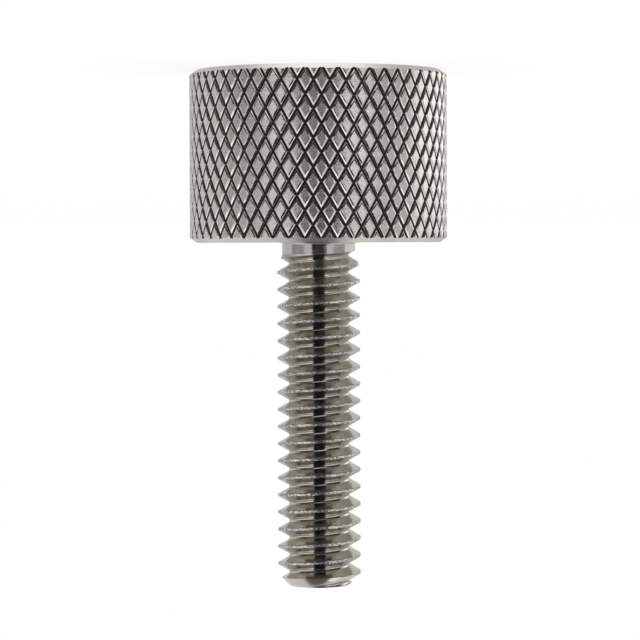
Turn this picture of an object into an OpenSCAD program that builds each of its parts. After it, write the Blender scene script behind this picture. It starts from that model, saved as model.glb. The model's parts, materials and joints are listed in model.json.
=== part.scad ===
// Knurled thumb screw, 1/4-20 UNC by 1 inch, turned from one stainless steel bar.
// It stands on the flat top of its head: z = 0 is that face, and the shank points up.

/* [Head] */
// Diameter over the knurl
head_d = 19.05; // [15:0.05:30]
// Height, from the flat top to the underside
head_h = 12.7; // [6:0.1:20]
// Width of each chamfer, measured towards the axis
chamfer_w = 0.53; // [0.3:0.01:1.2]
// Height of each chamfer, measured along the axis
chamfer_h = 0.37; // [0.2:0.01:1]

/* [Knurl] */
// Number of grooves that wind as a right-hand helix
right_grooves = 50; // [30:1:64]
// Number of grooves that wind as a left-hand helix
left_grooves = 52; // [30:1:64]
// Lean of the right-hand grooves away from the axis, in degrees
right_lean = 30.4; // [20:0.1:40]
// Lean of the left-hand grooves away from the axis, in degrees
left_lean = 28.9; // [20:0.1:40]
// Width of a groove at the surface, square to its length
groove_w = 0.3; // [0.15:0.01:0.45]
// Depth of a groove
groove_depth = 0.15; // [0.08:0.01:0.25]

/* [Neck] */
// How far the plain neck lies below the thread's crests
neck_drop = 0.36; // [0.1:0.01:0.7]
// Length of the plain neck
neck_len = 0.85; // [0.4:0.05:3]
// Length of the slope from the neck up to the full thread
neck_slope = 0.95; // [0.4:0.05:2.5]
// Height of the cove between the neck and the underside of the head
cove_h = 0.12; // [0.05:0.01:0.35]

/* [Thread] */
// Length under the head
shank_len = 25.4; // [12:0.1:40]
// Diameter over the crests
thread_d = 6.12; // [5:0.01:8]
// Distance from crest to crest
pitch = 1.27; // [1:0.01:1.6]
// Width of the flat on the crest
crest_w = 0.16; // [0.08:0.01:0.3]
// Width of the flat at the root
root_w = 0.18; // [0.08:0.01:0.3]
// Size of the chamfer at the tip, cut at 45 degrees
tip_chamfer = 0.84; // [0.4:0.02:1.6]
// Part of a turn in which the groove fades out at the neck
runout = 0.45; // [0.2:0.05:1]

/* [Hidden] */

steel = "silver";
seat = 0.5;                         // length of the shank inside the head
spare = 0.3;                        // how far a field of teeth or turns runs past the bar it is cut on

head_r = head_d / 2;
groove_r = head_r - groove_depth;
right_rate = right_grooves * tan(right_lean) / (PI * head_d);   // grooves crossed in 1 mm along the axis
left_rate = left_grooves * tan(left_lean) / (PI * head_d);
density = left_grooves * right_rate + right_grooves * left_rate;    // teeth in 1 mm of the head's height
tooth_w = PI * head_d * (cos(right_lean) / right_grooves + cos(left_lean) / left_grooves) / 2;
tooth_r = groove_r + groove_depth * tooth_w / groove_w;             // where the sides of a tooth would meet
right_clock = 0.2;                  // where the first groove leaves z = 0, in steps of one groove
left_clock = 0.83;

thread_r = thread_d / 2;
flank = tan(30);                    // 60 degrees between the flanks
ridge_r = thread_r + crest_w / 2 / flank;                       // where the flanks of a ridge would meet
root_r = ridge_r - (pitch - root_w) / 2 / flank;
tip_z = head_h + shank_len;
cove_gap = 0.03;                    // from the crests to the edge of the flat underside
facets = 32;                        // in each turn of the thread
thread_clock = 0.26;                // where a crest meets the underside, in turns
runout_clock = 0.06;                // where the groove begins to bite, in turns
first_turn = -3;                    // the ridge starts this far inside the head
turns = ceil((shank_len + seat) / pitch) - first_turn + 2;

// A point at a radius, at an angle in turns and at a height
function at(r, turn, z) = [r * cos(360 * turn), r * sin(360 * turn), z];

// The point where left-hand groove i crosses right-hand groove j
function crossing(r, i, j) = let (a = i + left_clock, b = j + right_clock)
    at(r, (a * right_rate + b * left_rate) / density, (a * right_grooves - b * left_grooves) / density);

// The right-hand groove that a column of teeth starts from, just past the top of the head
function first(i) =
    ceil(((i + 1 + left_clock) * right_grooves + spare * density) / left_grooves - right_clock);
function rise(i) = first(i + 1) - first(i);

// Four-sided teeth all round, parted by both sets of grooves and longer than the head.
// Column i of teeth stands between left-hand grooves i and i + 1.
module teeth() {
    tall = ceil((right_grooves + (head_h + 2 * spare) * density) / left_grooves) + 1;
    points_up = tall + 2 + floor(right_grooves / left_grooves);
    corners = [for (i = [0:left_grooves - 1], k = [0:points_up - 1]) crossing(groove_r, i, first(i) - k)];
    peaks = [for (i = [0:left_grooves - 1], k = [0:tall - 1])
        crossing(tooth_r, i + 0.5, first(i) - k - 0.5)];
    ends = [[0, 0, -spare], [0, 0, head_h + spare]];
    function corner(i, k) = (i % left_grooves) * points_up + k;
    function peak(i, k) = len(corners) + i * tall + k;
    low = len(corners) + len(peaks);
    high = low + 1;
    function foot(i, k) = [corner(i, k), corner(i, k + 1),
        corner(i + 1, k + 1 + rise(i)), corner(i + 1, k + rise(i)), corner(i, k)];
    sides = [for (i = [0:left_grooves - 1], k = [0:tall - 1], s = [0:3])
        [foot(i, k)[s], foot(i, k)[s + 1], peak(i, k)]];
    low_end = [for (i = [0:left_grooves - 1]) each concat(
        [[corner(i, 0), corner(i + 1, rise(i)), low]],
        [for (k = [0:1:rise(i) - 1]) [corner(i + 1, k + 1), corner(i + 1, k), low]])];
    high_end = [for (i = [0:left_grooves - 1]) each concat(
        [[corner(i + 1, tall + rise(i)), corner(i, tall), high]],
        [for (k = [tall:1:tall + rise(i) - 1]) [corner(i + 1, k), corner(i + 1, k + 1), high]])];
    polyhedron(concat(corners, peaks, ends), concat(sides, low_end, high_end), convexity = 4);
}

// The bar that the head is knurled on, with a chamfer turned on each end
module head_blank() {
    face_r = head_r - chamfer_w;
    rotate_extrude($fn = 180)
        polygon([[0, 0], [face_r, 0], [head_r, chamfer_h],
            [head_r, head_h - chamfer_h], [face_r, head_h], [0, head_h]]);
}

// The shank before its thread is cut, with a cove under the head and a chamfered tip
module shank_blank() {
    neck_r = thread_r - neck_drop;
    neck_z = head_h + neck_len;
    cove_w = neck_drop + cove_gap;
    cove = [for (a = [0:15:90]) [neck_r + cove_w * (1 - sin(a)), head_h + cove_h * (1 - cos(a))]];
    rotate_extrude($fn = 96)
        polygon(concat([[0, head_h - seat], [neck_r + cove_w, head_h - seat]], cove,
            [[neck_r, neck_z], [thread_r, neck_z + neck_slope], [thread_r, tip_z - tip_chamfer],
            [thread_r - tip_chamfer, tip_z], [0, tip_z]]));
}

// A sharp right-hand ridge, longer than the shank. Each step round it has three points:
// the low and the high edge of the groove's floor, and the ridge above it.
module ridge() {
    last = turns * facets;
    function turn(k) = first_turn + k / facets;
    function floor_z(k) = head_h + (turn(k) - thread_clock + 0.5) * pitch;
    function bite(k) = min(1, max(0, (turn(k) - runout_clock) / runout));
    function floor_r(k) = ridge_r + (root_r - ridge_r) * bite(k);
    points = [for (k = [0:last]) each [
        at(floor_r(k), turn(k), floor_z(k) - root_w / 2),
        at(floor_r(k), turn(k), floor_z(k) + root_w / 2),
        at(ridge_r, turn(k), floor_z(k) + pitch / 2)]];
    ends = [[0, 0, floor_z(0) + pitch / 2], [0, 0, floor_z(last)]];
    function point(k, line) = line < 3 ? 3 * k + line : 3 * (k + facets);
    low = len(points);
    high = low + 1;
    sides = [for (k = [0:last - 1], line = [0:2]) if (line < 2 || k < last - facets)
        each [[point(k, line), point(k, line + 1), point(k + 1, line + 1)],
            [point(k, line), point(k + 1, line + 1), point(k + 1, line)]]];
    low_end = concat([for (k = [0:facets - 1]) [point(k, 0), point(k + 1, 0), low]],
        [for (line = [0:2]) [point(0, line + 1), point(0, line), low]]);
    high_end = concat([for (k = [last - facets:last - 1]) [point(k + 1, 2), point(k, 2), high]],
        [for (line = [0:1]) [point(last, line), point(last, line + 1), high]],
        [[point(last - facets, 2), point(last, 0), high]]);
    polyhedron(concat(points, ends), concat(sides, low_end, high_end), convexity = 8);
}

module thumb_screw() {
    color(steel) {
        intersection() {
            head_blank();
            teeth();
        }
        intersection() {
            shank_blank();
            ridge();
        }
    }
}

thumb_screw();
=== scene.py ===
import json
from math import ceil, cos, pi, radians, sin, tan

import bmesh
import bpy
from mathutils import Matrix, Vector


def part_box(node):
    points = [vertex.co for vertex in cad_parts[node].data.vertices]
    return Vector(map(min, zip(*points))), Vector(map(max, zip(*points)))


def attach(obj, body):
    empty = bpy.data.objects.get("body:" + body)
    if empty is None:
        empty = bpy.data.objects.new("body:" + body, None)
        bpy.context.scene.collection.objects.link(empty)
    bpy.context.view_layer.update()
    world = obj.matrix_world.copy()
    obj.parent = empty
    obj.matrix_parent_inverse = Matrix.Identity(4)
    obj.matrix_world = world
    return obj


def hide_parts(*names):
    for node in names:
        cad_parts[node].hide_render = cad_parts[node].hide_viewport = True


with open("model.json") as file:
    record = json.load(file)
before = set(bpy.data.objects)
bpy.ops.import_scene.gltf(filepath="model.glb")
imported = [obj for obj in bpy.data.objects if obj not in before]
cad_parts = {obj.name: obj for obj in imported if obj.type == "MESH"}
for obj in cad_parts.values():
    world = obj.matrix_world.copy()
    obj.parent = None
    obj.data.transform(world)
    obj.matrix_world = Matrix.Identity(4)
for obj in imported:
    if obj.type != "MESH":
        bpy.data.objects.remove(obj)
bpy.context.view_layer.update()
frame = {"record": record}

mm = 0.001
micron = 0.000001
sharpEdge = radians(22)     # faces that meet at less are shaded as one
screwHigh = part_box("thumb_screw")[1]        # the far corner of the CAD's box
mounts = {mount["name"]: mount for mount in frame["record"]["mounts"]}
print("frame loaded, screw", round(screwHigh.z / mm, 2), "mm tall")


# Leaves edit mode, then takes one piece into it
def startEdit(piece):
    if bpy.context.object and bpy.context.object.mode != "OBJECT":
        bpy.ops.object.mode_set(mode="OBJECT")
    bpy.ops.object.select_all(action="DESELECT")
    piece.select_set(True)
    bpy.context.view_layer.objects.active = piece
    bpy.ops.object.mode_set(mode="EDIT")


def stopEdit():
    bpy.ops.object.mode_set(mode="OBJECT")


# Selects the points of a mesh in edit mode that the test accepts
def pickPoints(piece, test):
    bpy.ops.mesh.select_mode(type="VERT")
    bpy.ops.mesh.select_all(action="DESELECT")
    mesh = bmesh.from_edit_mesh(piece.data)
    for vert in mesh.verts:
        vert.select = test(vert.co)
    mesh.select_flush_mode()
    bmesh.update_edit_mesh(piece.data)


# Selects the open edges of a mesh in edit mode that the test accepts
def pickRim(piece, test):
    bpy.ops.mesh.select_mode(type="EDGE")
    bpy.ops.mesh.select_all(action="DESELECT")
    mesh = bmesh.from_edit_mesh(piece.data)
    for edge in mesh.edges:
        middle = (edge.verts[0].co + edge.verts[1].co) / 2
        edge.select = edge.is_boundary and test(middle)
    mesh.select_flush_mode()
    bmesh.update_edit_mesh(piece.data)


# Adds a modifier with its settings to a piece, and applies it
def useModifier(piece, kind, **settings):
    bpy.ops.object.select_all(action="DESELECT")
    piece.select_set(True)
    bpy.context.view_layer.objects.active = piece
    modifier = piece.modifiers.new(kind.lower(), kind)
    for name, value in settings.items():
        setattr(modifier, name, value)
    bpy.ops.object.modifier_apply(modifier=modifier.name)


# Joins, cuts or keeps the shared part of two closed shapes, and removes the second
def combine(piece, other, operation):
    useModifier(piece, "BOOLEAN", operation=operation, object=other, solver="EXACT",
                material_mode="TRANSFER")
    bpy.data.objects.remove(other)


# Closes an open end with a fan to one point, as extrude and merge at centre do
def closeEnd(piece, test):
    pickRim(piece, test)
    bpy.ops.mesh.extrude_edges_move()
    bpy.ops.mesh.merge(type="CENTER")


# A line of points, each extruded from the last, in the plane of X and Z: (radius, height)
def drawProfile(name, points):
    (firstRadius, firstHeight), rest = points[0], points[1:]
    bpy.ops.mesh.primitive_plane_add(size=mm, location=(0, 0, 0))
    profile = bpy.context.object
    profile.name = name
    startEdit(profile)
    bpy.ops.mesh.select_mode(type="VERT")
    bpy.ops.mesh.select_all(action="SELECT")
    bpy.ops.mesh.merge(type="CENTER")
    bpy.ops.transform.translate(value=(firstRadius, 0, firstHeight))
    here = Vector((firstRadius, 0, firstHeight))
    for radius, height in rest:
        there = Vector((radius, 0, height))
        bpy.ops.mesh.extrude_region_move(TRANSFORM_OT_translate={"value": there - here})
        here = there
    stopEdit()
    return profile


# Spins a profile into a closed solid, as on a lathe
def turn(name, points, steps):
    piece = drawProfile(name, points)
    startEdit(piece)
    bpy.ops.mesh.select_all(action="SELECT")
    bpy.ops.mesh.spin(steps=steps, angle=2 * pi, center=(0, 0, 0), axis=(0, 0, 1))
    bpy.ops.mesh.select_all(action="SELECT")
    bpy.ops.mesh.remove_doubles(threshold=micron)
    bpy.ops.mesh.normals_make_consistent(inside=False)
    stopEdit()
    return piece


# The turned blank of the head
head = {
    "radius": screwHigh.x,
    "height": mounts["head_underside"]["pos_m"][2],
    "chamferWidth": 0.53 * mm,
    "chamferHeight": 0.37 * mm,
    "spare": 0.3 * mm,          # how far a cutting shape stands clear of what it cuts
    "steps": 192,
}

# The two sets of helical grooves that make the diamonds
knurl = {
    "rightGrooves": 50,         # grooves that wind as a right-hand helix
    "leftGrooves": 52,
    "rightLean": radians(30.4),
    "leftLean": radians(28.9),
    "rightClock": 0.2,          # where the first groove leaves the floor, in steps of one groove
    "leftClock": 0.83,
    "rootWidth": 0.02 * mm,
    # from the bottom of a groove up to the top of a tooth: width and slope of each strip
    "sides": ((0.07 * mm, radians(42)), (0.09 * mm, radians(30)), (0.04 * mm, radians(14))),
    "rimWidth": 0.03 * mm,      # keeps the roundness of the edge off the middle of the top
}


# A step along the grooves of each hand, on the head's surface unrolled flat: its length is given as
# the number of grooves of the other hand that it crosses
def knurlStep(alongLeft, alongRight):
    around = 2 * pi * head["radius"]
    rightRate = knurl["rightGrooves"] * tan(knurl["rightLean"]) / around
    leftRate = knurl["leftGrooves"] * tan(knurl["leftLean"]) / around
    density = knurl["leftGrooves"] * rightRate + knurl["rightGrooves"] * leftRate
    return Vector((
        around * (alongLeft * rightRate + alongRight * leftRate) / density,
        0,
        (alongLeft * knurl["rightGrooves"] - alongRight * knurl["leftGrooves"]) / density,
    ))


# One four-sided tooth and its half of the four grooves round it, flat, facing -Y
def modelTooth():
    corners = [knurlStep(0, 0), knurlStep(0, 1), knurlStep(1, 1), knurlStep(1, 0)]
    bpy.ops.object.select_all(action="DESELECT")
    bpy.ops.mesh.primitive_plane_add(size=mm, rotation=(pi / 2, 0, 0))
    tooth = bpy.context.object
    tooth.name = "tooth"
    bpy.ops.object.transform_apply(rotation=True)
    startEdit(tooth)
    mesh = bmesh.from_edit_mesh(tooth.data)
    starts = [vert.co.copy() for vert in mesh.faces[:1][0].verts]
    for start, corner in zip(starts, corners):
        pickPoints(tooth, lambda place: (place - start).length < micron)
        bpy.ops.transform.translate(value=corner - start)
    bpy.ops.mesh.select_all(action="SELECT")
    bpy.ops.mesh.subdivide(number_cuts=1)
    bpy.ops.mesh.select_mode(type="FACE")
    bpy.ops.mesh.select_all(action="SELECT")
    bpy.ops.mesh.inset(thickness=knurl["rootWidth"] / 2, depth=0)
    height = 0
    for width, slope in knurl["sides"]:
        bpy.ops.mesh.inset(thickness=width, depth=width * tan(slope))
        height += width * tan(slope)
    bpy.ops.mesh.inset(thickness=knurl["rimWidth"], depth=0)
    bpy.ops.mesh.select_all(action="SELECT")
    bpy.ops.transform.translate(value=(0, height, 0))
    stopEdit()
    tooth.data.materials.append(knurledStainless())
    return tooth


# The teeth all round, as a closed drum that is longer than the head
def modelKnurl():
    knurled = modelTooth()
    knurled.name = "knurled"
    left, right, across = knurlStep(1, 0), knurlStep(0, 1), knurlStep(1, 1)
    drift = -across.z * knurl["leftGrooves"]
    above = ceil((head["height"] + head["spare"] + drift) / -right.z)
    below = ceil((left.z + head["spare"]) / -right.z) + 1
    quarter = Vector((pi / 2 * head["radius"], 0, 0))   # the bend starts at -Y, grooves count from X
    startEdit(knurled)
    bpy.ops.mesh.select_all(action="SELECT")
    start = knurlStep(knurl["leftClock"], knurl["rightClock"] - above)
    bpy.ops.transform.translate(value=start + quarter)
    stopEdit()
    for step, count in ((right, above + below), (across, knurl["leftGrooves"])):
        useModifier(knurled, "ARRAY", count=count, use_relative_offset=False, use_constant_offset=True,
                    constant_offset_displace=step, use_merge_vertices=True, merge_threshold=micron)
    width = knurled.dimensions.x
    useModifier(knurled, "SIMPLE_DEFORM", deform_method="BEND", deform_axis="Z",
                angle=width / head["radius"])
    startEdit(knurled)
    bpy.ops.mesh.select_all(action="SELECT")
    bpy.ops.transform.translate(value=(0, -head["radius"], 0))
    bpy.ops.mesh.remove_doubles(threshold=micron)
    middle = head["height"] / 2
    closeEnd(knurled, lambda place: place.z < middle)
    closeEnd(knurled, lambda place: place.z > middle)
    bpy.ops.mesh.select_all(action="SELECT")
    bpy.ops.mesh.normals_make_consistent(inside=False)
    stopEdit()
    return knurled


# The knurl, kept only where the turned blank is, which gives the head its ends and chamfers
def modelHead():
    outer, reach = head["radius"], head["spare"]
    slope = head["chamferHeight"] / head["chamferWidth"]
    inset = outer - head["chamferWidth"]
    rise = head["chamferHeight"] + reach * slope
    top = head["height"]
    blank = turn("headBlank", [(0, 0), (inset, 0), (outer + reach, rise), (outer + reach, top - rise),
                               (inset, top), (0, top)], head["steps"])
    blank.data.materials.append(facedStainless())
    knurled = modelKnurl()
    combine(knurled, blank, "INTERSECT")
    return knurled


# A 60 degree thread, 20 turns to the inch
thread = {
    "radius": mounts["thread"]["dims"]["r_mm"] * mm,
    "pitch": 25.4 / 20 * mm,
    "crestWidth": 0.16 * mm,
    "rootWidth": 0.19 * mm,     # across the bottom of the groove, which is a very flat V
    "rootLow": radians(12),     # the lean of its two sides
    "rootHigh": radians(20),
    "rootShift": 0.02 * mm,     # how far its deepest line lies towards the head
    "flank": radians(30),
    "flankStrips": 3,           # faces from root to crest
    "clock": 0.26,              # where a crest meets the underside, in turns
    "firstTurn": -2,            # inside the head
    "steps": 128,
    "crestRoughness": 0.012 * mm,
    "crestSeed": 7,
}


# The groove's profile, screwed up past both ends of the shank
def modelThread():
    pitch, crest = thread["pitch"], thread["radius"]
    ridge = crest + thread["crestWidth"] / 2 / tan(thread["flank"])
    halfRoot, halfCrest = thread["rootWidth"] / 2, thread["crestWidth"] / 2
    root = ridge - (pitch / 2 - halfRoot) / tan(thread["flank"])
    shift = thread["rootShift"]
    middle = Vector((root - (halfRoot + shift) * tan(thread["rootHigh"]), -shift))
    foot = middle.x + (halfRoot - shift) * tan(thread["rootLow"])
    low = Vector((foot, -halfRoot)), Vector((crest, halfCrest - pitch / 2))
    high = Vector((root, halfRoot)), Vector((crest, pitch / 2 - halfCrest))
    shares = [strip / thread["flankStrips"] for strip in range(thread["flankStrips"] + 1)]
    down = [low[0].lerp(low[1], share) for share in shares]
    up = [high[0].lerp(high[1], share) for share in shares]
    profile = [Vector((crest, -pitch / 2))] + down[::-1] + [middle] + up + [Vector((crest, pitch / 2))]
    start = head["height"] + (thread["firstTurn"] - thread["clock"] + 0.5) * pitch
    threaded = drawProfile("threaded", [(point.x, start + point.y) for point in profile])
    turns = ceil((shank["tip"] + shank["spare"] - start) / pitch) + 1
    useModifier(threaded, "SCREW", axis="Z", angle=2 * pi, screw_offset=pitch, iterations=turns,
                steps=thread["steps"], render_steps=thread["steps"], use_smooth_shade=False)
    halfway = head["height"] + shank["tip"] / 2
    startEdit(threaded)
    bpy.ops.mesh.select_all(action="SELECT")
    bpy.ops.mesh.remove_doubles(threshold=micron)
    closeEnd(threaded, lambda place: place.z < halfway)
    closeEnd(threaded, lambda place: place.z > halfway)
    bpy.ops.mesh.select_all(action="SELECT")
    bpy.ops.mesh.normals_make_consistent(inside=False)
    pickPoints(threaded, lambda place: place.xy.length > crest - micron)
    bpy.ops.transform.vertex_random(offset=thread["crestRoughness"], uniform=1, normal=0,
                                    seed=thread["crestSeed"])
    stopEdit()
    threaded.data.materials.append(cutThread())
    return threaded


# Fills the groove where the threading tool had not yet come down
collar = {
    "radius": 3.2 * mm,
    "length": 0.31 * mm,        # from the underside to the foot of its cone
    "endRadius": 2.2 * mm,
    "tilt": radians(4.2),
}


# The plain neck's collar, whose tilted cone lets the first groove fade out behind
def modelCollar():
    foot = head["height"] + collar["length"]
    end = foot + (collar["radius"] - collar["endRadius"]) * tan(thread["flank"])
    start = shank["start"] - shank["spare"]
    piece = turn("collar", [(0, start), (collar["radius"], start), (collar["radius"], foot),
                            (collar["endRadius"], end), (0, end)], shank["steps"])
    startEdit(piece)
    pickPoints(piece, lambda place: place.z > foot - micron)
    bpy.ops.transform.rotate(value=collar["tilt"], orient_axis="Y",
                             center_override=(0, 0, (foot + end) / 2))
    stopEdit()
    return piece


# The plain turned shank, from inside the head to the tip
shank = {
    "tip": screwHigh.z,
    "start": head["height"] - 0.5 * mm,     # inside the head
    "neckRadius": 2.7 * mm,
    "neckLength": 0.85 * mm,
    "neckSlope": 0.95 * mm,
    "coveHeight": 0.12 * mm,
    "coveBends": range(0, 91, 15),      # degrees round the cove
    "seatGap": 0.03 * mm,       # from the crests to the edge of the flat underside
    "tipChamfer": 0.84 * mm,
    "edgeHold": 0.02 * mm,      # keeps the neck straight up to its ends
    "spare": 0.3 * mm,
    "steps": 128,
}


# The shank as it was turned before threading
def modelShankBlank():
    neck, crest, reach = shank["neckRadius"], thread["radius"], shank["spare"]
    seat = crest + shank["seatGap"]
    under, tip = head["height"], shank["tip"]
    cove = [(neck + (seat - neck) * (1 - sin(radians(bend))),
             under + shank["coveHeight"] * (1 - cos(radians(bend)))) for bend in shank["coveBends"]]
    neckEnd = under + shank["neckLength"]
    hold = shank["edgeHold"]
    slope = shank["neckSlope"] / (crest - neck)
    outline = [(0, shank["start"]), (seat, shank["start"])] + cove + [
        (neck, under + shank["coveHeight"] + hold), (neck, neckEnd - hold), (neck, neckEnd),
        (crest + reach, neckEnd + (crest + reach - neck) * slope),
        (crest + reach, tip - shank["tipChamfer"] - reach),
        (crest - shank["tipChamfer"], tip), (0, tip)]
    return turn("shankBlank", outline, shank["steps"])


# The thread, filled in by the collar and kept only where the blank is
def modelShank():
    threaded, filling, blank = modelThread(), modelCollar(), modelShankBlank()
    turned = turnedStainless()
    filling.data.materials.append(turned)
    blank.data.materials.append(turned)
    combine(threaded, filling, "UNION")
    combine(threaded, blank, "INTERSECT")
    return threaded


# Head and shank as one closed body
def modelThumbScrew():
    screw = modelHead()
    print("head modelled:", len(screw.data.polygons), "faces")
    threaded = modelShank()
    print("shank modelled:", len(threaded.data.polygons), "faces")
    combine(screw, threaded, "UNION")
    startEdit(screw)
    bpy.ops.mesh.select_all(action="SELECT")
    bpy.ops.mesh.remove_doubles(threshold=micron / 2)
    bpy.ops.mesh.dissolve_degenerate(threshold=micron / 2)
    bpy.ops.mesh.select_all(action="SELECT")
    bpy.ops.mesh.fill_holes(sides=8)        # what the cuts may have left open
    bpy.ops.mesh.normals_make_consistent(inside=False)
    stopEdit()
    screw.name = "thumbScrew"
    screw.data.name = "thumbScrew"
    return screw


# An sRGB hex colour, turned linear
def hexColour(code):
    parts = [int(code[start:start + 2], 16) / 255 for start in (1, 3, 5)]
    linear = [part / 12.92 if part <= 0.04045 else ((part + 0.055) / 1.055) ** 2.4 for part in parts]
    return (*linear, 1)


# Adds a node with its settings and links: a node or a socket is linked, and any other value is set
def addNode(tree, kind, inputs=(), **settings):
    node = tree.nodes.new("ShaderNode" + kind)
    for name, value in settings.items():
        setattr(node, name, value)
    for name, value in dict(inputs).items():
        if isinstance(value, bpy.types.Node):
            value = next(socket for socket in value.outputs if socket.enabled)
        if isinstance(value, bpy.types.NodeSocket):
            tree.links.new(value, node.inputs[name])
        else:
            node.inputs[name].default_value = value
    return node


# An empty node material, and its tree
def newMaterial(name):
    material = bpy.data.materials.new(name)
    material.use_nodes = True
    material.node_tree.nodes.clear()
    return material, material.node_tree


eased = {"interpolation_type": "SMOOTHSTEP"}
inColour = {"data_type": "RGBA"}            # a Mix node's factor is then socket 0, its colours 6 and 7
fineGrain = {"Detail": 2.0, "Roughness": 0.6}


# The place on the screw in millimetres, and its distance from the axis
def findPlace(tree):
    here = addNode(tree, "TexCoord").outputs["Object"]
    place = addNode(tree, "VectorMath", {0: here, "Scale": 1 / mm}, operation="SCALE")
    flat = addNode(tree, "VectorMath", {0: place, 1: (1, 1, 0)}, operation="MULTIPLY")
    return place, addNode(tree, "VectorMath", {0: flat}, operation="LENGTH")


# The lines that a turning tool leaves: they change quickly across its path and slowly along it
def toolLines(tree, place, across, finish):
    slow = addNode(tree, "VectorMath", {0: place, "Scale": 1 / finish["lineLength"]}, operation="SCALE")
    quick = addNode(tree, "Math", {0: across, 1: finish["lineSize"]}, operation="DIVIDE")
    return addNode(tree, "TexNoise", {
        "Vector": slow, "W": quick, "Scale": 1.0, "Detail": 1.0}, noise_dimensions="4D")


# What counts as across on every turned face, flat, round or sloped: any uneven share of the height
# keeps it changing on all of them
def acrossTurning(tree, place, radius):
    height = addNode(tree, "SeparateXYZ", {0: place}).outputs["Z"]
    share = addNode(tree, "Math", {0: height, 1: 0.62}, operation="MULTIPLY")
    return addNode(tree, "Math", {0: radius, 1: share}, operation="ADD")


# Bare metal, with a height of 0 to 1 turned into bumps of a depth in millimetres
def finishMetal(tree, colour, roughness, height, depth):
    normal = addNode(tree, "Bump", {"Height": height, "Distance": depth * mm, "Strength": 1.0})
    shader = addNode(tree, "BsdfPrincipled", {
        "Base Color": colour, "Metallic": 1.0, "Roughness": roughness, "Normal": normal})
    addNode(tree, "OutputMaterial", {"Surface": shader})


# The knurl's finish: sizes and depths in millimetres
knurlFinish = {
    "steelDark": "#D6D3CF",
    "steelLight": "#E8E5E1",
    "darkerTone": "#7D7A76",
    "dullShare": {"From Min": 0.35, "From Max": 0.65, "To Min": 0.2, "To Max": 0.0},
    "paintedGrooveShade": "#584A44",       # painted shade in the grooves, dark brown
    "top": {"From Min": 0.18, "From Max": 0.25},        # in from the middle of a groove
    "groove": {"From Min": 0.07, "From Max": 0.11, "To Min": 1.0, "To Max": 0.0},
    "mottleSize": 0.5,
    "speckSize": 0.11,          # the real grain is finer than can be seen
    "speckHeight": 0.7,
    "lineSize": 0.12,
    "lineLength": 5.0,
    "lineHeight": 0.3,
    "keptHeight": {"To Min": 0.6, "To Max": 1.0},       # of the bumps, on the sides and on the tops
    "depth": 0.012,
    "roughness": {"From Min": 0.3, "From Max": 0.7, "To Min": 0.1, "To Max": 0.18},
    "topRoughness": 0.08,       # more on the tops, and more in the grooves
    "grooveRoughness": 0.4,
}


# Stainless bar, turned and then knurled by two hardened wheels. The tops keep the dull grain of the
# bar, the sides of the teeth are pressed smooth and bright, and the grooves are painted dark brown as
# painted shade
def knurledStainless():
    finish = knurlFinish
    material, tree = newMaterial("knurledStainless")
    place, radius = findPlace(tree)
    tooth = addNode(tree, "TexCoord").outputs["UV"]
    corner = addNode(tree, "SeparateXYZ", {0: tooth}).outputs
    sides = []
    for axis in ("X", "Y"):
        ahead = addNode(tree, "Math", {0: 1.0, 1: corner[axis]}, operation="SUBTRACT")
        sides.append(addNode(tree, "Math", {0: corner[axis], 1: ahead}, operation="MINIMUM"))
    edge = addNode(tree, "Math", {0: sides[0], 1: sides[1]}, operation="MINIMUM")
    onTop = addNode(tree, "MapRange", {"Value": edge, **finish["top"]}, **eased)
    inGroove = addNode(tree, "MapRange", {"Value": edge, **finish["groove"]}, **eased)

    mottle = addNode(tree, "TexNoise", {"Vector": place, "Scale": 1 / finish["mottleSize"], **fineGrain})
    speck = addNode(tree, "TexNoise", {"Vector": place, "Scale": 1 / finish["speckSize"], **fineGrain})
    steel = addNode(tree, "Mix", {
        0: mottle, 6: hexColour(finish["steelDark"]), 7: hexColour(finish["steelLight"])}, **inColour)
    dullSpeck = addNode(tree, "MapRange", {"Value": speck, **finish["dullShare"]}, **eased)
    dullTop = addNode(tree, "Math", {0: onTop, 1: dullSpeck}, operation="MULTIPLY")
    darkerTone = addNode(tree, "Mix", {0: dullTop, 6: steel, 7: hexColour(finish["darkerTone"])}, **inColour)
    # the grooves get a dark brown colour here: painted shade
    colour = addNode(tree, "Mix", {0: inGroove, 6: darkerTone, 7: hexColour(finish["paintedGrooveShade"])}, **inColour)

    lines = toolLines(tree, place, acrossTurning(tree, place, radius), finish)
    specks = addNode(tree, "Math", {0: speck, 1: finish["speckHeight"]}, operation="MULTIPLY")
    fine = addNode(tree, "Math", {0: lines, 1: finish["lineHeight"], 2: specks}, operation="MULTIPLY_ADD")
    shape = addNode(tree, "Math", {0: fine, 1: mottle}, operation="ADD")
    kept = addNode(tree, "MapRange", {"Value": onTop, **finish["keptHeight"]}, **eased)
    height = addNode(tree, "Math", {0: shape, 1: kept}, operation="MULTIPLY")
    base = addNode(tree, "MapRange", {"Value": mottle, **finish["roughness"]}, **eased)
    roughness = addNode(tree, "Math", {
        0: onTop, 1: finish["topRoughness"], 2: base}, operation="MULTIPLY_ADD")
    roughness = addNode(tree, "Math", {
        0: inGroove, 1: finish["grooveRoughness"], 2: roughness}, operation="MULTIPLY_ADD")
    finishMetal(tree, colour, roughness, height, finish["depth"])
    return material


# The faced ends of the head: sizes and depths in millimetres
facedFinish = {
    "steelDark": "#CDC9C3",
    "steelLight": "#DAD7D1",
    "mottleSize": 1.2,
    "lineSize": 0.09,           # the feed of the facing cut
    "lineLength": 8.0,
    "depth": 0.002,
    "roughness": {"From Min": 0.3, "From Max": 0.7, "To Min": 0.16, "To Max": 0.26},
}


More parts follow.
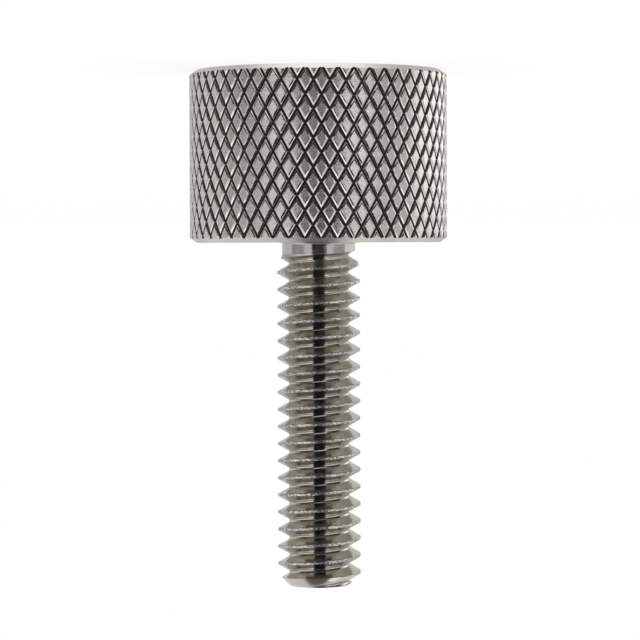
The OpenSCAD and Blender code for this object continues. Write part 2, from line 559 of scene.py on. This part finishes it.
# The ends and chamfers of the head, faced on the lathe: fine rings that streak what they reflect
def facedStainless():
    finish = facedFinish
    material, tree = newMaterial("facedStainless")
    place, radius = findPlace(tree)
    lines = toolLines(tree, place, acrossTurning(tree, place, radius), finish)
    mottle = addNode(tree, "TexNoise", {"Vector": place, "Scale": 1 / finish["mottleSize"], **fineGrain})
    colour = addNode(tree, "Mix", {
        0: mottle, 6: hexColour(finish["steelDark"]), 7: hexColour(finish["steelLight"])}, **inColour)
    roughness = addNode(tree, "MapRange", {"Value": lines, **finish["roughness"]}, **eased)
    finishMetal(tree, colour, roughness, lines, finish["depth"])
    return material


# The turned neck and tip: sizes and depths in millimetres
turnedFinish = {
    "steelDark": "#C6C4C1",
    "steelLight": "#D2CFCC",
    "mottleSize": 0.4,
    "lineSize": 0.08,
    "lineLength": 4.0,
    "depth": 0.001,
    "roughness": {"From Min": 0.3, "From Max": 0.7, "To Min": 0.08, "To Max": 0.14},
}


# The neck and the tip, turned with a fine feed: nearly a mirror, with faint lines round the axis
def turnedStainless():
    finish = turnedFinish
    material, tree = newMaterial("turnedStainless")
    place, radius = findPlace(tree)
    lines = toolLines(tree, place, acrossTurning(tree, place, radius), finish)
    mottle = addNode(tree, "TexNoise", {"Vector": place, "Scale": 1 / finish["mottleSize"], **fineGrain})
    colour = addNode(tree, "Mix", {
        0: mottle, 6: hexColour(finish["steelDark"]), 7: hexColour(finish["steelLight"])}, **inColour)
    roughness = addNode(tree, "MapRange", {"Value": mottle, **finish["roughness"]}, **eased)
    finishMetal(tree, colour, roughness, lines, finish["depth"])
    return material


# The thread's finish: sizes and depths in millimetres
threadFinish = {
    "headFlankDark": "#D0C8BF",     # the flank that faces the head
    "headFlankLight": "#DCD4CB",
    "tipFlankShadeDark": "#A5A19C",      # the flank that faces the tip, darker and greyer: painted shade
    "tipFlankShadeLight": "#B3AFAA",
    "tornDark": "#9A9793",
    "tornLight": "#E6E4E2",
    "tornSpeck": {"From Min": 0.38, "From Max": 0.62},
    "crest": {"From Min": 2.97, "From Max": 3.03},      # from the axis to the torn metal
    "mottleSize": 0.6,
    "speckSize": 0.09,          # drawn a little coarser than the real torn grain
    "speckStretch": (0.45, 0.45, 1),                    # longer round the screw than along it
    "speckHeight": 0.6,
    "lineSize": 0.07,
    "lineLength": 3.0,
    "lineHeight": 0.01,
    "depth": 0.07,
    "roughness": {"From Min": 0.3, "From Max": 0.7, "To Min": 0.1, "To Max": 0.18},
    "crestRoughness": 0.08,     # more on the crests
}


# Whether a place on the thread is on the flank that faces the tip: it is less than half a pitch past
# a crest, from how far round and up it is
def facesTip(tree, place):
    axes = addNode(tree, "SeparateXYZ", {0: place}).outputs
    angle = addNode(tree, "Math", {0: axes["Y"], 1: axes["X"]}, operation="ARCTAN2")
    turned = addNode(tree, "Math", {0: angle, 1: 2 * pi}, operation="DIVIDE")
    fromHead = addNode(tree, "Math", {0: axes["Z"], 1: head["height"] / mm}, operation="SUBTRACT")
    pitches = addNode(tree, "Math", {0: fromHead, 1: thread["pitch"] / mm}, operation="DIVIDE")
    climbed = addNode(tree, "Math", {0: pitches, 1: thread["clock"]}, operation="ADD")
    crests = addNode(tree, "Math", {0: climbed, 1: turned}, operation="SUBTRACT")
    fromCrest = addNode(tree, "Math", {0: crests}, operation="FRACT")
    return addNode(tree, "Math", {0: fromCrest, 1: 0.5}, operation="LESS_THAN")


# The thread, cut in passes: the flanks are smooth along the helix and a little warm, the one away from
# the head is painted darker and greyer as painted shade, and the crests are torn, so they sparkle
def cutThread():
    finish = threadFinish
    material, tree = newMaterial("cutThread")
    place, radius = findPlace(tree)
    crest = addNode(tree, "MapRange", {"Value": radius, **finish["crest"]}, **eased)
    lines = toolLines(tree, place, radius, finish)
    long = addNode(tree, "VectorMath", {0: place, 1: finish["speckStretch"]}, operation="MULTIPLY")
    speck = addNode(tree, "TexNoise", {"Vector": long, "Scale": 1 / finish["speckSize"], **fineGrain})
    mottle = addNode(tree, "TexNoise", {"Vector": place, "Scale": 1 / finish["mottleSize"], **fineGrain})

    headFlank = addNode(tree, "Mix", {
        0: mottle, 6: hexColour(finish["headFlankDark"]), 7: hexColour(finish["headFlankLight"])}, **inColour)
    # the flank that faces the tip gets a darker, greyer copy of the steel colour: painted shade
    darkerTone = addNode(tree, "Mix", {
        0: mottle, 6: hexColour(finish["tipFlankShadeDark"]), 7: hexColour(finish["tipFlankShadeLight"])}, **inColour)
    flank = addNode(tree, "Mix", {0: facesTip(tree, place), 6: headFlank, 7: darkerTone}, **inColour)
    tornSpeck = addNode(tree, "MapRange", {"Value": speck, **finish["tornSpeck"]}, **eased)
    torn = addNode(tree, "Mix", {
        0: tornSpeck, 6: hexColour(finish["tornDark"]), 7: hexColour(finish["tornLight"])}, **inColour)
    colour = addNode(tree, "Mix", {0: crest, 6: flank, 7: torn}, **inColour)

    smooth = addNode(tree, "Math", {0: lines, 1: finish["lineHeight"]}, operation="MULTIPLY")
    onCrest = addNode(tree, "Math", {0: speck, 1: crest}, operation="MULTIPLY")
    height = addNode(tree, "Math", {
        0: onCrest, 1: finish["speckHeight"], 2: smooth}, operation="MULTIPLY_ADD")
    base = addNode(tree, "MapRange", {"Value": mottle, **finish["roughness"]}, **eased)
    roughness = addNode(tree, "Math", {
        0: crest, 1: finish["crestRoughness"], 2: base}, operation="MULTIPLY_ADD")
    finishMetal(tree, colour, roughness, height, finish["depth"])
    return material


# The white room round the screw
studio = {
    "world": 1.0,
    "floorColour": "#FDFDFD",
    "floorSize": 3.0,
    "floorGap": 0.02 * mm,      # keeps the floor clear of the face that stands on it
    "floorGlow": 0.84,          # share of the floor's own white that the camera sees
    "tentRadius": 0.16,
    "tentSegments": 64,
    "tentRings": 32,
    "tentGlow": 0.66,           # where there is no panel
    "softboxPlace": (-0.11, 0.1, 0.34),
    "softboxSize": 0.18,
    "softboxPower": 0.2,
}

# What the metal sees of the tent round it, in degrees: from and to round the screw, where 0 is the
# camera's side and -X is positive, from and to up, how soft the edge is, and how bright the panel is.
# A later one lies over the earlier ones, and -400 to 400 goes all the way round
panels = {
    "behind": (-400, 400, 24, 90, 8, 0.8),
    "overhead": (-400, 400, 71, 120, 10, 0.14),
    "overheadLamp": (120, 146, 62, 75, 5, 1.2),
    "underneath": (-400, 400, -120, -60, 20, 1.35),
    "lowFront": (-110, 110, -62, -28, 4, 0.16),
    "lowSides": (-110, 110, -30, -8, 4, 0.4),
    "lowBlack": (-86, 86, -30, -7, 3, 0.04),
    "highRight": (22, 100, 16, 45, 5, 0.85),
    "highLeft": (-100, -22, 16, 45, 5, 0.95),
    "rootRight": (22, 88, 24, 42, 4, 1.15),
    "rootLeft": (-88, -22, 24, 42, 4, 1.3),
    "brightRight": (22, 42, 16, 25, 3, 1.8),
    "brightLeft": (-42, -20, 16, 25, 3, 1.8),
    "highSideRight": (62, 104, 44, 58, 12, 0.8),
    "highSideLeft": (-104, -62, 44, 58, 12, 1.0),
    "highDark": (-60, 60, 45, 70, 10, 0.12),
    "stripRight": (20, 48, -8, 16, 2, 0.58),
    "stripLeft": (-48, -18, -8, 16, 2, 0.62),
    "sideRight": (48, 92, -8, 16, 2, 0.34),
    "sideLeft": (-92, -44, -8, 16, 2, 0.32),
    "threadRight": (48, 82, 3, 18, 2, 0.85),
    "threadLeft": (-80, -46, 3, 18, 2, 0.95),
    "opening": (-21, 26, -30, 40, 2, 0.02),
    "headStripRight": (18, 50, -10, -1, 2, 1.25),
    "headStripLeft": (-50, -18, -10, -1, 2, 1.05),
    "headSideRight": (50, 90, -10, -1, 4, 0.7),
    "headSideLeft": (-92, -50, -10, -1, 4, 0.5),
    "headEdgeRight": (90, 150, -10, -1, 8, 1.5),
    "headEdgeLeft": (-150, -92, -10, -1, 8, 0.75),
    "headOpening": (-18, 18, -10, -2, 2, 0.45),
    "lowFill": (-30, 28, -42, -29, 3, 0.9),
}


# The share of a panel in what a ray in a direction sees
def coverPanel(tree, around, up, start, end, low, high, soft):
    half = soft / 2
    edges = (around, start, 0, 1), (around, end, 1, 0), (up, low, 0, 1), (up, high, 1, 0)
    share = 1.0
    for angle, edge, before, after in edges:
        inside = addNode(tree, "MapRange", {
            "Value": angle, "From Min": edge - half, "From Max": edge + half,
            "To Min": before, "To Max": after}, **eased)
        share = addNode(tree, "Math", {0: share, 1: inside}, operation="MULTIPLY")
    return share


# A plain white room
def lightWorld():
    world = bpy.data.worlds.new("whiteRoom")
    bpy.context.scene.world = world
    world.use_nodes = True
    tree = world.node_tree
    tree.nodes.clear()
    background = addNode(tree, "Background", {"Color": hexColour("#FFFFFF"), "Strength": studio["world"]})
    addNode(tree, "OutputWorld", {"Surface": background})


# A round light tent with soft panels in it, which only the metal sees
def pitchTent():
    bpy.ops.object.select_all(action="DESELECT")
    bpy.ops.mesh.primitive_uv_sphere_add(
        segments=studio["tentSegments"], ring_count=studio["tentRings"],
        radius=studio["tentRadius"], location=(0, 0, head["height"]))
    tent = bpy.context.object
    tent.name = "tent"
    material, tree = newMaterial("tentPanels")
    here = addNode(tree, "TexCoord").outputs["Object"]
    way = addNode(tree, "VectorMath", {0: here}, operation="NORMALIZE")
    axes = addNode(tree, "SeparateXYZ", {0: way}).outputs
    ahead = addNode(tree, "Math", {0: axes["Y"], 1: -1}, operation="MULTIPLY")
    aside = addNode(tree, "Math", {0: axes["X"], 1: -1}, operation="MULTIPLY")
    turned = addNode(tree, "Math", {0: aside, 1: ahead}, operation="ARCTAN2")
    around = addNode(tree, "Math", {0: turned}, operation="DEGREES")
    raised = addNode(tree, "Math", {0: axes["Z"]}, operation="ARCSINE")
    up = addNode(tree, "Math", {0: raised}, operation="DEGREES")
    glow = studio["tentGlow"]
    for *edges, brightness in panels.values():
        glow = addNode(tree, "Mix", {0: coverPanel(tree, around, up, *edges), 2: glow, 3: brightness})
    shader = addNode(tree, "Emission", {"Strength": glow})
    addNode(tree, "OutputMaterial", {"Surface": shader})
    tent.data.materials.append(material)
    tent.visible_camera = False
    tent.visible_diffuse = False
    tent.visible_shadow = False
    tent.visible_transmission = False


# A sheet of white paper that takes the screw's shadow and is white to the camera
def layFloor():
    bpy.ops.object.select_all(action="DESELECT")
    bpy.ops.mesh.primitive_plane_add(size=studio["floorSize"], location=(0, 0, -studio["floorGap"]))
    floor = bpy.context.object
    floor.name = "floor"
    material, tree = newMaterial("whitePaper")
    seen = addNode(tree, "LightPath").outputs["Is Camera Ray"]
    share = addNode(tree, "Math", {0: seen, 1: studio["floorGlow"]}, operation="MULTIPLY")
    paper = addNode(tree, "BsdfDiffuse", {"Color": hexColour(studio["floorColour"])})
    glow = addNode(tree, "Emission", {"Strength": 1.0})
    mix = addNode(tree, "MixShader", {0: share, 1: paper, 2: glow})
    addNode(tree, "OutputMaterial", {"Surface": mix})
    floor.data.materials.append(material)
    floor.visible_glossy = False


# A weak soft lamp behind and above, which the metal doesn't mirror
def hangSoftbox():
    light = bpy.data.lights.new("softbox", "AREA")
    light.size = studio["softboxSize"]
    light.energy = studio["softboxPower"]
    softbox = bpy.data.objects.new("softbox", light)
    place = Vector(studio["softboxPlace"])
    softbox.location = place
    softbox.rotation_euler = place.to_track_quat("Z", "Y").to_euler()
    softbox.visible_glossy = False
    bpy.context.scene.collection.objects.link(softbox)


# Level with the underside of the head and turned upside down, so that the head is at the top
camera = {
    "distance": 210 * mm,
    "height": 12.7 * mm,
    "aside": -0.11 * mm,
    "tilt": radians(1.567),
    "lens": 159.4,
    "sensor": 36,
    "roll": radians(0.17),
    "near": 0.005,
    "far": 10,
}


def placeCamera():
    data = bpy.data.cameras.new("camera")
    data.lens = camera["lens"]
    data.sensor_width = camera["sensor"]
    data.clip_start = camera["near"]
    data.clip_end = camera["far"]
    seat = bpy.data.objects.new("camera", data)
    seat.location = (camera["aside"], -camera["distance"], camera["height"])
    seat.rotation_euler = (pi / 2 - camera["tilt"], pi + camera["roll"], 0)
    bpy.context.scene.collection.objects.link(seat)
    bpy.context.scene.camera = seat


screw = modelThumbScrew()
print("screw modelled:", len(screw.data.polygons), "faces")
bpy.ops.object.select_all(action="DESELECT")
screw.select_set(True)
bpy.context.view_layer.objects.active = screw
bpy.ops.object.shade_smooth_by_angle(angle=sharpEdge)
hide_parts("thumb_screw")
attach(screw, "root")

lightWorld()
layFloor()
pitchTent()
hangSoftbox()
placeCamera()
bpy.context.scene.view_settings.view_transform = "Standard"
print("studio set with", len(panels), "panels")
